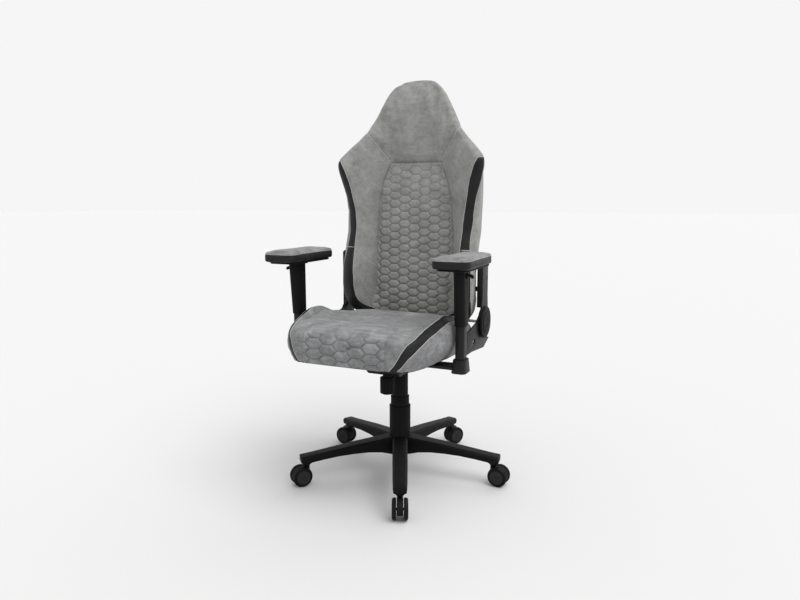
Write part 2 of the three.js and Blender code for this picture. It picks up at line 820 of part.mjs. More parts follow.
function armrestSleeve() {
  const { bottom, top } = SLEEVE_DEPTH;
  const section = (depth) => roundedRectangle(SLEEVE_WIDTH, depth, 14);
  const tube = loft([
    ringOf(section(bottom), SLEEVE_BOTTOM),
    ringOf(section(top), SLEEVE_TOP).map(({ x, y, z }) =>
      new THREE.Vector3(x, y - (top - bottom) / 2, z),
    ),
  ]);
  const roof = SLEEVE_TOP - SLEEVE_ROOF;
  const [boreWidth, boreDepth] = POST_SIZE.map((size) => size + 0.8);
  const bore = plateZ(
    roundedRectangle(boreWidth, boreDepth, 12),
    SLEEVE_BOTTOM - 1,
    roof,
    3,
  );
  const leverY = LEVER_PIVOT.y - ARM_POST.y;
  const window = box([0, leverY - 6.5, 690], [30, leverY + 6.5, roof]);
  const pivotHole = post(8 + GAP, roof - 1, SLEEVE_TOP + 1, 16);
  return atPost(cut(tube, bore, window, pivotHole));
}

// A trigger through the sleeve's outer wall that frees the height stop.
function armrestLever() {
  const { x, y, z } = LEVER_PIVOT;
  const side = outlineOf([
    [x - 17, z - 2],
    [x + 12, z - 3],
    [x + 18, z - 9],
    [x + 23, z - 8],
    [x + 21, z],
    [x + 14, z + 3],
    [x - 17, z + 2],
  ]);
  const turn = new THREE.Matrix4().makeBasis(
    new THREE.Vector3(1, 0, 0),
    new THREE.Vector3(0, 0, 1),
    new THREE.Vector3(0, -1, 0),
  );
  return plateZ(side, -5.5, 5.5).applyMatrix4(turn).translate(0, y, 0);
}

function armrestTurntable() {
  const disc = post(TURNTABLE.radius, SLEEVE_TOP + GAP, TURNTABLE.top, 28);
  const pivot = post(8, SLEEVE_TOP - 4, SLEEVE_TOP + 1, 16);
  return atPost(join(disc, pivot));
}

function armrestSlider() {
  const outline = roundedRectangle(PAD.width - 16, PAD.length - 30, 22);
  const bottom = TURNTABLE.top + GAP;
  return plateZ(outline, bottom, SLIDER_TOP, 4).translate(PAD.x, PAD.y, 0);
}

// The pad's inner side, towards the sitter, is hollowed a little and its outer side is full.
function armrestPad() {
  const [x, y] = [PAD.width / 2, PAD.length / 2];
  const outline = new THREE.Shape();
  outline.moveTo(-x + 16, -y);
  outline.lineTo(x - 20, -y);
  outline.quadraticCurveTo(x, -y, x, 26 - y);
  outline.quadraticCurveTo(x + 2, 0, x - 4, y - 26);
  outline.quadraticCurveTo(x - 6, y, x - 26, y);
  outline.lineTo(24 - x, y);
  outline.quadraticCurveTo(6 - x, y, 4 - x, y - 22);
  outline.quadraticCurveTo(9 - x, 0, -x, 22 - y);
  outline.quadraticCurveTo(-x, -y, -x + 16, -y);
  const bottom = SLIDER_TOP + GAP;
  return new THREE.ExtrudeGeometry(outline, {
    depth: PAD.top - bottom - 2 * PAD.bevel,
    bevelThickness: PAD.bevel,
    bevelSize: PAD.bevel,
    bevelOffset: -PAD.bevel,
    bevelSegments: 2,
    curveSegments: 4,
  }).translate(PAD.x, PAD.y, bottom + PAD.bevel);
}

// ---------------------------------------------------------------- the chair

const chair = new THREE.Group();
chair.position.copy(ORIGIN_SHIFT);

function add(parent, name, geometry, finish) {
  const mesh = new THREE.Mesh(geometry, new THREE.MeshStandardMaterial(finish));
  mesh.name = name;
  parent.add(mesh);
  return mesh;
}

function addBase() {
  add(chair, "five_star_base", fiveStarBase(), BLACK_NYLON);
  add(chair, "lift_tube", liftTube(), PAINTED_STEEL);
  add(chair, "lift_rod", liftRod(), BRIGHT_STEEL);
  add(chair, "cover_lower", ring(COVER_LOWER), BLACK_NYLON);
  add(chair, "cover_middle", ring(COVER_MIDDLE), BLACK_NYLON);
  add(chair, "cover_upper", ring(COVER_UPPER), BLACK_NYLON);
}

// Each caster is a group on its stem axis; the wheels trail away from the base.
function addCaster(index) {
  const legAngle = THREE.MathUtils.degToRad(BASE_TURN + (index * 360) / LEG_COUNT);
  const caster = new THREE.Group();
  caster.position.set(
    STEM_RADIUS * Math.sin(legAngle),
    -STEM_RADIUS * Math.cos(legAngle),
    0,
  );
  caster.rotation.z = legAngle + THREE.MathUtils.degToRad(CASTER_TURNS[index]);
  chair.add(caster);
  const parts = new THREE.Group();
  parts.position.y = -CASTER_TRAIL;
  caster.add(parts);
  const number = index + 1;
  add(parts, `caster_stem_${number}`, casterStem(), BRIGHT_STEEL);
  add(parts, `caster_hood_${number}`, casterHood(), BLACK_NYLON);
  const offset = (HOOD_WIDTH + WHEEL_WIDTH) / 2 + WHEEL_CLEARANCE;
  for (const [letter, side] of [["a", 1], ["b", -1]]) {
    const wheel = add(parts, `caster_wheel_${number}${letter}`, casterWheel(), TREAD_NYLON);
    wheel.position.set(side * offset, 0, AXLE_HEIGHT);
    wheel.rotation.z = side > 0 ? 0 : Math.PI;
  }
}

function addMechanism() {
  add(chair, "mechanism_housing", mechanismHousing(), PAINTED_STEEL);
  add(chair, "tilt_pin", tiltPin(), BRIGHT_STEEL);
  add(chair, "mechanism_plate", mechanismPlate(), PAINTED_STEEL);
  add(chair, "tension_knob", tensionKnob(), BLACK_NYLON);
  add(chair, "height_lever", heightLever(), PAINTED_STEEL);
}

function addSeatAndBack() {
  add(chair, "seat_pan", seatPan(), PAINTED_STEEL);
  add(chair, "seat_cushion", seatCushion(), PALE_SUEDE);
  add(chair, "back_frame", backFrame(), PAINTED_STEEL);
  add(chair, "back_cushion", backCushion(), GREY_SUEDE);
  add(chair, "back_panel", backPanel(), BLACK_LEATHER);
  add(chair, "recline_sync_rod", syncRod(), BRIGHT_STEEL);
}

// The pieces that come in pairs are drawn for the left side and mirrored for the right.
function addSide(side) {
  const group = new THREE.Group();
  group.scale.x = SIDES[side];
  chair.add(group);
  const { bracket, arm, cover } = RECLINE_RADII[side];
  add(group, `recline_bracket_${side}`, reclineBracket(bracket), PAINTED_STEEL);
  add(group, `recline_arm_${side}`, reclineArm(arm), PAINTED_STEEL);
  const coverShape = reclineCover(cover, side === "right");
  add(group, `recline_cover_${side}`, coverShape, BLACK_NYLON);
  if (side === "right") add(group, "recline_lever", reclineLever(), BLACK_NYLON);
  add(group, `armrest_bracket_${side}`, armrestBracket(), PAINTED_STEEL);
  add(group, `armrest_post_${side}`, armrestPost(), PAINTED_STEEL);
  add(group, `armrest_sleeve_${side}`, armrestSleeve(), BLACK_NYLON);
  add(group, `armrest_lever_${side}`, armrestLever(), BLACK_NYLON);
  add(group, `armrest_turntable_${side}`, armrestTurntable(), BLACK_NYLON);
  add(group, `armrest_slider_${side}`, armrestSlider(), BLACK_NYLON);
  add(group, `armrest_pad_${side}`, armrestPad(), PALE_SUEDE);
}

addBase();
for (let index = 0; index < LEG_COUNT; index += 1) addCaster(index);
addMechanism();
addSeatAndBack();
Object.keys(SIDES).forEach(addSide);

const model = new THREE.Group();
model.name = "gaming_chair";
model.add(chair);

export default model;
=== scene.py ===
"""The looks of a grey and black racing-style gaming chair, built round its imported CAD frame.

Everything is in metres, +Z up. The sitter faces -Y, and +X is the sitter's left. Upholstery is
laid out about the chair's swivel axis: across is the distance from it to either side.
"""

import json
import math

import bmesh
import bpy
import numpy as np
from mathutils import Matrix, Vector


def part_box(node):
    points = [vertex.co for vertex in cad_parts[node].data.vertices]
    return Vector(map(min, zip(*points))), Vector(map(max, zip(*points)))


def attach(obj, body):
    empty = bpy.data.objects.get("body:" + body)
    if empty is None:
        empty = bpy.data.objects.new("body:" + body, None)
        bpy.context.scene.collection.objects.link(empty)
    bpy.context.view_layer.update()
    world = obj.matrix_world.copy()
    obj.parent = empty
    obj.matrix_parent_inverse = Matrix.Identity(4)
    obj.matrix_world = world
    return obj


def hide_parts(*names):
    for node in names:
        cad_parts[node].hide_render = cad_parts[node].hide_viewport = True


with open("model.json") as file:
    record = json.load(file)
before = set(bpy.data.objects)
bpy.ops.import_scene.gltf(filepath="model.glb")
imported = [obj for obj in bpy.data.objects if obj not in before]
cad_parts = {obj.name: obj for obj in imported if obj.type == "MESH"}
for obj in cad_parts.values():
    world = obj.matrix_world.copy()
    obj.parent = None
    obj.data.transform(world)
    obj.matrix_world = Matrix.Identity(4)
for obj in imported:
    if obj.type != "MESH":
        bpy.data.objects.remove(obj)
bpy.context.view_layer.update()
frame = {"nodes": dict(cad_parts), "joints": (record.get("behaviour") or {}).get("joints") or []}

JOINTS = {joint["name"]: joint for joint in frame["joints"]}
AXIS = Vector(JOINTS["seat_swivel"]["pos_m"])
SIDES = {"left": 1, "right": -1}
CASTERS = range(1, 6)
WHEEL_WIDTH = 0.013
FULL_TURN = 2 * math.pi

# Backrest seams, as the height and the distance across of a few points on each
BACK_PANEL_EDGE = [
    (0.520, 0.150), (0.560, 0.146), (0.620, 0.139), (0.740, 0.137), (0.810, 0.135),
    (0.892, 0.130), (0.970, 0.116), (1.033, 0.089),
]
BACK_PANEL_TOP = 1.033
BACK_STRIP_INNER = [
    (0.520, 0.100), (0.532, 0.124), (0.542, 0.146), (0.556, 0.165), (0.572, 0.173), (0.600, 0.176),
    (0.640, 0.178), (0.700, 0.182), (0.754, 0.187), (0.834, 0.188), (0.880, 0.194),
    (0.915, 0.201), (0.968, 0.211), (1.009, 0.224), (1.030, 0.234), (1.040, 0.244),
]
# The strip's outer edge: the height, and the distances across and behind the axis added up
BACK_STRIP_OUTER = [
    (0.520, 0.310), (0.545, 0.296), (0.565, 0.282), (0.590, 0.268), (0.618, 0.262),
    (0.675, 0.262), (0.740, 0.268), (0.776, 0.274), (0.834, 0.294), (0.915, 0.302),
    (0.968, 0.316), (1.009, 0.321), (1.040, 0.322),
]
BACK_STRIP_TOP = 1.040
NECK_SEAM = [(0.165, 1.137), (0.089, 1.033)]
WING_SEAM = [(0.187, 0.751), (0.139, 0.683)]
BACK_HONEYCOMB = (0.036, 0.0272)  # between columns and between rows

# Seat seams, as distances across at a few reaches: the height and the depth added up, which
# grows all the way from the lower front edge over the top to the rear
SEAT_STRIP_INNER = [
    (0.060, 0.128), (0.070, 0.140), (0.082, 0.150), (0.100, 0.160), (0.120, 0.168), (0.155, 0.182),
    (0.190, 0.194), (0.245, 0.201), (0.320, 0.208), (0.360, 0.213), (0.490, 0.219),
]
SEAT_STRIP_OUTER = [
    (0.060, 0.138), (0.070, 0.152), (0.090, 0.168), (0.106, 0.178), (0.122, 0.187), (0.150, 0.200),
    (0.188, 0.212), (0.235, 0.222), (0.275, 0.229), (0.330, 0.235), (0.400, 0.242), (0.490, 0.246),
]
SEAT_STRIP_LOWEST = [  # the height that the strip keeps above, at a few depths
    (-0.400, 0.440), (-0.360, 0.452), (-0.337, 0.470), (-0.320, 0.493), (-0.297, 0.513),
    (-0.269, 0.529), (-0.230, 0.542), (-0.150, 0.550), (0.100, 0.550),
]
SEAT_PANEL_HALF_WIDTH = 0.129
SEAT_PANEL_HEIGHTS = (0.452, 0.546)
SEAT_PANEL_DEPTH = -0.335  # the quilting is in front of this
SEAT_HONEYCOMB = (0.044, 0.0305)

# Sewn seams, as the depth and the half width of their grooves
BACK_PANEL_SEAM = (0.0034, 0.0032)
BACK_STRIP_SEAM = (0.0016, 0.0035)
NECK_GROOVE = (0.0016, 0.003)
WING_GROOVE = (0.0009, 0.0028)
SEAT_STRIP_SEAM = (0.0018, 0.0035)
SEAT_SIDE_SEAM = (0.0022, 0.004)
PAD_SEAM = (0.0012, 0.002)
HELD_WIDTH = 0.004  # the cloth is held this far to each side of a seam

# Stuffing: the remesh's voxel, the cloth's pressure and the most that a point may move
BACK_STUFFING = (0.0062, 3.2, 0.008)
SEAT_STUFFING = (0.0062, 3.6, 0.008)
PAD_STUFFING = (0.0034, 3.0, 0.004)

# Quilting: how far a cell's pillow rises, the distance from its edge to its flat top, and the
# share of the rise that is taken off everywhere
BACK_PLUMP_LOW, BACK_PLUMP_LOSS = 0.0046, 0.0018
BACK_PILLOW, BACK_PILLOW_LEVEL = 0.0115, 0.55
SEAT_PLUMP = 0.0044
SEAT_PILLOW, SEAT_PILLOW_LEVEL = 0.013, 0.6
PANEL_EASE = 0.006  # the quilting fades in over this width
SEAT_QUILT_START = 0.4535
SEAT_CREST_RISE = 0.006
SEAT_CREST_WIDTH = 0.011

BACK_FRONT_DEPTH = 0.145  # in front of this the backrest faces the sitter
BACK_SQUARE_EDGE = 0.54
HEADREST_START = 1.16
SEAT_RIM = 0.459
SEAT_LOWEST_SEAM = 0.448
PAD_SUEDE_THICKNESS = 0.0065

STIFFENER_OUTSIDE = 0.2492  # across, the outer side of the flange inside a recline arm
STIFFENER_FOOT = 0.594  # the height of the flange's lower end
STIFFENER_EXTENSION = 0.028
CORNER_SAG = 0.009  # how far the backrest's lower corners hang below its middle
CLOTH_FRAMES = 20


# ---------------------------------------------------------------- meshes


def new_piece(name, vertices, faces):
    mesh = bpy.data.meshes.new(name)
    mesh.from_pydata([tuple(v) for v in vertices], [], faces)
    mesh.update()
    piece = bpy.data.objects.new(name, mesh)
    bpy.context.scene.collection.objects.link(piece)
    return piece


def copy_of(node, name):
    """A new object that holds a copy of a CAD node's mesh, with its shared corners merged."""
    piece = bpy.data.objects.new(name, frame["nodes"][node].data.copy())
    bpy.context.scene.collection.objects.link(piece)
    piece.data.materials.clear()
    edit = bmesh.new()
    edit.from_mesh(piece.data)
    bmesh.ops.remove_doubles(edit, verts=edit.verts, dist=1e-5)
    edit.to_mesh(piece.data)
    edit.free()
    return piece


def apply_modifiers(piece):
    shown = piece.evaluated_get(bpy.context.evaluated_depsgraph_get())
    mesh = bpy.data.meshes.new_from_object(shown)
    piece.modifiers.clear()
    piece.data = mesh


def points_of(mesh):
    values = np.empty(len(mesh.vertices) * 3)
    mesh.vertices.foreach_get("co", values)
    return values.reshape(-1, 3)


def normals_of(mesh):
    values = np.empty(len(mesh.vertices) * 3, np.float32)
    mesh.vertex_normals.foreach_get("vector", values)
    return values.reshape(-1, 3).astype(float)


def move_points(mesh, points):
    mesh.vertices.foreach_set("co", points.astype(np.float32).ravel())
    mesh.update()


def smooth_by_angle(piece, degrees=35):
    piece.data.shade_smooth()
    piece.data.set_sharp_from_angle(angle=math.radians(degrees))


def turned(name, outline, start, direction, segments=72):
    """A turned piece. The outline is (radius, distance along the axis) points; it runs from the
    axis to the axis, or closes on itself."""
    along = Vector(direction).normalized()
    across = along.orthogonal().normalized()
    third = along.cross(across)
    origin = Vector(start)
    count = len(outline)
    vertices = []
    for step in range(segments):
        angle = FULL_TURN * step / segments
        radial = across * math.cos(angle) + third * math.sin(angle)
        vertices += [origin + radial * radius + along * height for radius, height in outline]
    faces = []
    for step in range(segments):
        here, there = step * count, ((step + 1) % segments) * count
        for i in range(count):
            j = (i + 1) % count
            faces.append((here + i, there + i, there + j, here + j))
    piece = new_piece(name, vertices, faces)
    edit = bmesh.new()
    edit.from_mesh(piece.data)
    bmesh.ops.remove_doubles(edit, verts=edit.verts, dist=1e-6)
    bmesh.ops.recalc_face_normals(edit, faces=edit.faces)
    edit.to_mesh(piece.data)
    edit.free()
    smooth_by_angle(piece)
    return piece


def bevelled(piece, width, segments=3, degrees=32):
    bevel = piece.modifiers.new("edges", "BEVEL")
    bevel.width = width
    bevel.segments = segments
    bevel.limit_method = "ANGLE"
    bevel.angle_limit = math.radians(degrees)
    bevel.harden_normals = False
    apply_modifiers(piece)
    smooth_by_angle(piece)


def dressed(node, material, body, slot, edge=0.0008):
    """A CAD node's shape with its flat faces joined and its edges rounded."""
    piece = copy_of(node, f"{node}_shape")
    edit = bmesh.new()
    edit.from_mesh(piece.data)
    bmesh.ops.dissolve_limit(
        edit, angle_limit=math.radians(1), verts=edit.verts, edges=edit.edges
    )
    edit.to_mesh(piece.data)
    edit.free()
    bevelled(piece, edge)
    return finished(piece, material, body, slot, node)


def finished(piece, material, body, slot, *nodes):
    piece.data.materials.clear()
    piece.data.materials.append(material)
    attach(piece, body)
    if nodes:
        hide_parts(*nodes)
    return piece


def tubes(name, lines, radius):
    """One mesh of round tubes along the given lines of points."""
    curve = bpy.data.curves.new(name, "CURVE")
    curve.dimensions = "3D"
    curve.bevel_depth = radius
    curve.bevel_resolution = 2
    curve.use_fill_caps = True
    for line in lines:
        spline = curve.splines.new("POLY")
        spline.points.add(len(line) - 1)
        for point, place in zip(spline.points, line):
            point.co = (*place, 1)
    source = bpy.data.objects.new(f"{name}_line", curve)
    bpy.context.scene.collection.objects.link(source)
    shown = source.evaluated_get(bpy.context.evaluated_depsgraph_get())
    piece = bpy.data.objects.new(name, bpy.data.meshes.new_from_object(shown))
    bpy.context.scene.collection.objects.link(piece)
    bpy.data.objects.remove(source)
    piece.data.shade_smooth()
    return piece


def seam_lines(mesh, field, shown, lift, shortest=0.03):
    """Lines on a mesh where a field of vertex values passes zero, as lists of points."""
    points, normals = points_of(mesh), normals_of(mesh)
    ends = np.empty(len(mesh.edges) * 2, int)
    mesh.edges.foreach_get("vertices", ends)
    ends = ends.reshape(-1, 2)
    values = field[ends]
    crossed = (values[:, 0] < 0) != (values[:, 1] < 0)
    crossed &= shown[ends].all(axis=1)
    share = values[:, 0] / np.where(crossed, values[:, 0] - values[:, 1], 1)
    raised = points + normals * lift
    places = raised[ends[:, 0]] * (1 - share[:, None]) + raised[ends[:, 1]] * share[:, None]
    neighbours = {}
    loop_edges = np.empty(len(mesh.loops), int)
    mesh.loops.foreach_get("edge_index", loop_edges)
    for face in mesh.polygons:
        first = face.loop_start
        hit = [e for e in loop_edges[first : first + face.loop_total] if crossed[e]]
        if len(hit) == 2:
            neighbours.setdefault(hit[0], []).append(hit[1])
            neighbours.setdefault(hit[1], []).append(hit[0])
    lines, seen = [], set()
    starts = sorted(neighbours, key=lambda e: (len(neighbours[e]), e))
    for start in starts:
        if start in seen:
            continue
        chain, here = [], start
        while here is not None:
            seen.add(here)
            chain.append(here)
            here = next((e for e in neighbours[here] if e not in seen), None)
        line = places[chain]
        for _ in range(6):
            line[1:-1] = (line[:-2] + 2 * line[1:-1] + line[2:]) / 4
        if np.linalg.norm(np.diff(line, axis=0), axis=1).sum() > shortest:
            lines.append([Vector(p) for p in line[::2]])
    return lines


# ---------------------------------------------------------------- materials


class Shader:
    """A new material's node tree, with one short call for each kind of node it needs."""

    def __init__(self, name, **values):
        self.material = bpy.data.materials.new(name)
        self.material.use_nodes = True
        tree = self.material.node_tree
        self.nodes, self.links = tree.nodes, tree.links
        self.surface = self.nodes["Principled BSDF"]
        for socket, value in values.items():
            self.surface.inputs[socket.replace("_", " ")].default_value = value
        self.place = self.nodes.new("ShaderNodeTexCoord").outputs["Object"]

    def feed(self, socket, source):
        if isinstance(source, bpy.types.NodeSocket):
            self.links.new(source, socket)
        else:
            socket.default_value = source

    def scaled(self, scale):
        mapping = self.nodes.new("ShaderNodeMapping")
        mapping.inputs["Scale"].default_value = scale
        self.links.new(self.place, mapping.inputs["Vector"])
        return mapping.outputs["Vector"]

    def noise(self, scale, detail=3.0, roughness=0.55, vector=None, distortion=0.0):
        node = self.nodes.new("ShaderNodeTexNoise")
        node.inputs["Scale"].default_value = scale
        node.inputs["Detail"].default_value = detail
        node.inputs["Roughness"].default_value = roughness
        node.inputs["Distortion"].default_value = distortion
        self.links.new(vector or self.place, node.inputs["Vector"])
        return node.outputs["Fac"]

    def cells(self, scale, feature="F1"):
        node = self.nodes.new("ShaderNodeTexVoronoi")
        node.feature = feature
        node.inputs["Scale"].default_value = scale
        self.links.new(self.place, node.inputs["Vector"])
        return node.outputs["Distance"]

    def ramp(self, value, *stops):
        node = self.nodes.new("ShaderNodeValToRGB")
        ramp = node.color_ramp
        while len(ramp.elements) < len(stops):
            ramp.elements.new(0.5)
        for element, (place, colour) in zip(ramp.elements, stops):
            element.position = place
            element.color = (*colour, 1) if isinstance(colour, tuple) else (colour,) * 3 + (1,)
        self.feed(node.inputs["Fac"], value)
        return node.outputs["Color"]

    def mix(self, first, second, factor, blend="MIX"):
        node = self.nodes.new("ShaderNodeMix")
        node.data_type = "RGBA"
        node.blend_type = blend
        for name, source in (("Factor_Float", factor), ("A_Color", first), ("B_Color", second)):
            socket = next(s for s in node.inputs if s.identifier == name)
            self.feed(socket, (*source, 1) if isinstance(source, tuple) else source)
        return next(s for s in node.outputs if s.identifier == "Result_Color")

    def maths(self, operation, first, second=0.0):
        node = self.nodes.new("ShaderNodeMath")
        node.operation = operation
        self.feed(node.inputs[0], first)
        self.feed(node.inputs[1], second)
        return node.outputs[0]

    def bump(self, height, distance, strength=1.0, under=None):
        node = self.nodes.new("ShaderNodeBump")
        node.inputs["Distance"].default_value = distance
        node.inputs["Strength"].default_value = strength
        self.links.new(height, node.inputs["Height"])
        if under:
            self.links.new(under, node.inputs["Normal"])
        return node.outputs["Normal"]

    def finish(self, colour=None, roughness=None, normal=None):
        given = {"Base Color": colour, "Roughness": roughness, "Normal": normal}
        for socket, source in given.items():
            if source is not None:
                self.links.new(source, self.surface.inputs[socket])
        return self.material


def suede(name, dark, middle, light, streaks=0.0):
    """Brushed microfibre: soft clouds where the pile lies differently, a fine nap, and painted
    shade darkening the creases."""
    shader = Shader(name, Sheen_Weight=0.12, Sheen_Roughness=0.45, Specular_IOR_Level=0.12)
    clouds = shader.noise(16, detail=5, roughness=0.62, distortion=0.6)
    patches = shader.noise(70, detail=4, roughness=0.6)
    nap = shader.noise(520, detail=3, roughness=0.7)
    brushed = shader.noise(1, detail=5, vector=shader.scaled((26, 90, 120)), distortion=0.4)
    blend = shader.mix(clouds, patches, 0.38)
    blend = shader.mix(blend, brushed, 0.2 + streaks)
    blend = shader.mix(blend, nap, 0.22)
    colour = shader.ramp(blend, (0.36, dark), (0.5, middle), (0.66, light))
    # Painted shade: pointiness darkens the colour in concave creases, standing in for the shade
    # that falls into them.
    fold = shader.nodes.new("ShaderNodeNewGeometry").outputs["Pointiness"]
    colour = shader.mix(colour, shader.ramp(fold, (0.44, 0.55), (0.49, 1.0)), 1.0, "MULTIPLY")
    roughness = shader.ramp(patches, (0.3, 0.82), (0.7, 0.96))
    bump = shader.bump(nap, 0.0006, 0.5)
    bump = shader.bump(shader.noise(130, detail=4), 0.0009, 0.35, under=bump)
    return shader.finish(colour, roughness, bump)


def leatherette(name="black_leatherette", base=0.0075):
    shader = Shader(name, Specular_IOR_Level=0.2)
    grain = shader.cells(620, "SMOOTH_F1")
    fine = shader.noise(1500, detail=2)
    colour = shader.ramp(
        shader.noise(24, detail=3), (0.3, (base, base, base)), (0.7, (base * 1.7,) * 3)
    )
    roughness = shader.ramp(shader.noise(90, detail=3), (0.3, 0.44), (0.7, 0.58))
    bump = shader.bump(grain, 0.00045, 0.55)
    bump = shader.bump(fine, 0.0002, 0.35, under=bump)
    return shader.finish(colour, roughness, bump)


def moulded_plastic(name, base, rough):
    """Spark-eroded nylon, a little paler where its edges are handled."""
    shader = Shader(name, Specular_IOR_Level=0.09)
    texture = shader.noise(1300, detail=2, roughness=0.6)
    flow = shader.noise(11, detail=3)
    edge = shader.nodes.new("ShaderNodeNewGeometry").outputs["Pointiness"]
    worn = shader.ramp(edge, (0.505, 0.0), (0.56, 1.0))
    plain = shader.ramp(flow, (0.3, (base,) * 3), (0.7, (base * 1.35,) * 3))
    colour = shader.mix(plain, (base * 2.6,) * 3, shader.maths("MULTIPLY", worn, 0.55))
    roughness = shader.ramp(shader.noise(60, detail=4), (0.3, rough), (0.7, rough + 0.12))
    return shader.finish(colour, roughness, shader.bump(texture, 0.00012, 0.45))


def painted_steel(name="painted_steel", base=0.006):
    """Black powder coat: slight orange peel, thin at the edges."""
    shader = Shader(name, Specular_IOR_Level=0.16)
    peel = shader.noise(420, detail=2, roughness=0.5)
    edge = shader.nodes.new("ShaderNodeNewGeometry").outputs["Pointiness"]
    worn = shader.ramp(edge, (0.51, 0.0), (0.58, 1.0))
    plain = shader.ramp(shader.noise(14, detail=3), (0.3, (base,) * 3), (0.7, (base * 1.5,) * 3))
    colour = shader.mix(plain, (base * 4,) * 3, shader.maths("MULTIPLY", worn, 0.4))
    roughness = shader.ramp(shader.noise(80, detail=3), (0.3, 0.36), (0.7, 0.5))
    return shader.finish(colour, roughness, shader.bump(peel, 0.00014, 0.4))


def bright_steel(name="bright_steel"):
    shader = Shader(name, Metallic=1.0)
    scratches = shader.noise(1, detail=4, vector=shader.scaled((900, 900, 30)))
    colour = shader.ramp(scratches, (0.3, (0.42, 0.43, 0.44)), (0.7, (0.62, 0.63, 0.64)))
    roughness = shader.ramp(scratches, (0.3, 0.2), (0.7, 0.36))
    return shader.finish(colour, roughness, shader.bump(scratches, 0.00005, 0.3))


def thread(name, light):
    """Twisted sewing thread and piping cord."""
    shader = Shader(name, Specular_IOR_Level=0.2)
    twist = shader.noise(1, detail=2, vector=shader.scaled((900, 900, 1800)))
    colour = shader.ramp(twist, (0.3, (light * 0.55,) * 3), (0.7, (light,) * 3))
    roughness = shader.ramp(twist, (0.3, 0.7), (0.7, 0.9))
    return shader.finish(colour, roughness, shader.bump(twist, 0.0003, 0.6))


def lining(name="black_lining"):
    """The thin woven cloth that closes the upholstery from below."""
    shader = Shader(name, Specular_IOR_Level=0.15)
    weave = shader.cells(900)
    colour = shader.ramp(weave, (0.1, (0.006,) * 3), (0.8, (0.02,) * 3))
    roughness = shader.ramp(weave, (0.1, 0.85), (0.8, 0.98))
    return shader.finish(colour, roughness, shader.bump(weave, 0.0003, 0.5))


GREY_SUEDE = suede("grey_suede", (0.16, 0.16, 0.154), (0.25, 0.25, 0.241), (0.345, 0.345, 0.333))
PALE_SUEDE = suede(
    "pale_suede", (0.105, 0.107, 0.107), (0.195, 0.197, 0.2), (0.345, 0.349, 0.355), streaks=0.1
)
LEATHERETTE = leatherette()
NYLON = moulded_plastic("black_nylon", 0.0035, 0.5)
TREAD = moulded_plastic("tread_nylon", 0.0035, 0.42)
HUB = moulded_plastic("hub_nylon", 0.016, 0.5)
SHELL = moulded_plastic("black_shell", 0.005, 0.55)
STEEL = painted_steel()
BRIGHT = bright_steel()
PIPING = thread("grey_piping", 0.48)
THREAD = thread("pale_thread", 0.62)
LINING = lining()


# ---------------------------------------------------------------- padding


def group_of(piece, name, picked):
    group = piece.vertex_groups.new(name=name)
    group.add([int(i) for i in np.flatnonzero(picked)], 1.0, "REPLACE")
    return group.name


def blow_up(piece, pressure, most, pinned):
    """Cloth under pressure: no point moves by more than the given distance, and the points that
    pinned(points) picks don't move."""
    rest = points_of(piece.data)
    cloth = piece.modifiers.new("stuffing", "CLOTH")
    cloth.settings.quality = 5
    cloth.settings.use_pressure = True
    cloth.settings.uniform_pressure_force = pressure
    cloth.settings.vertex_group_mass = group_of(piece, "held", pinned(rest))
    cloth.settings.effector_weights.gravity = 0
    cloth.point_cache.frame_start = 1
    cloth.point_cache.frame_end = CLOTH_FRAMES
    for step in range(1, CLOTH_FRAMES + 1):
        bpy.context.scene.frame_set(step)
    apply_modifiers(piece)
    bpy.context.scene.frame_set(1)
    moved = points_of(piece.data) - rest
    length = np.linalg.norm(moved, axis=1, keepdims=True)
    share = np.minimum(1, most / np.maximum(length, 1e-9))
    move_points(piece.data, rest + moved * share)


def padded_shape(node, name, stuffing, smoothing, pinned):
    """A CAD solid as stuffed upholstery: remeshed, smoothed by each (region, times) pair where
    region(points) is true, and blown up."""
    voxel, pressure, most = stuffing
    piece = copy_of(node, name)
    remesh = piece.modifiers.new("even_faces", "REMESH")
    remesh.mode = "VOXEL"
    remesh.voxel_size = voxel
    apply_modifiers(piece)
    for region, times in smoothing:
        soften = piece.modifiers.new("soften", "SMOOTH")
        soften.factor = 0.5
        soften.iterations = times
        soften.vertex_group = group_of(piece, region.__name__, region(points_of(piece.data)))
        apply_modifiers(piece)
    blow_up(piece, pressure, most, pinned)
    finer = piece.modifiers.new("finer", "SUBSURF")
    finer.levels = 1
    finer.render_levels = 1
    apply_modifiers(piece)
    piece.vertex_groups.clear()
    return piece


def refine(piece, wanted):
    """Halves the edges whose two ends both have wanted(points) true."""
    edit = bmesh.new()
    edit.from_mesh(piece.data)
    picked = wanted(points_of(piece.data))
    edges = [e for e in edit.edges if picked[e.verts[0].index] and picked[e.verts[1].index]]
    bmesh.ops.subdivide_edges(edit, edges=edges, cuts=1, use_grid_fill=True, smooth=0.6)
    edit.to_mesh(piece.data)
    edit.free()


def along_table(table, value, softness=0.012):
    """The table's value at each place, with its corners rounded off."""
    places, values = zip(*table)
    steps = np.linspace(-softness, softness, 5)
    return np.mean([np.interp(value + step, places, values) for step in steps], axis=0)


def off_line(line, across, height):
    """Signed distance from a straight seam, and whether a point is alongside it."""
    (x0, z0), (x1, z1) = line
    length = math.hypot(x1 - x0, z1 - z0)
    ux, uz = (x1 - x0) / length, (z1 - z0) / length
    dx, dz = across - x0, height - z0
    return dx * uz - dz * ux, (dx * ux + dz * uz > -0.003) & (dx * ux + dz * uz < length + 0.003)


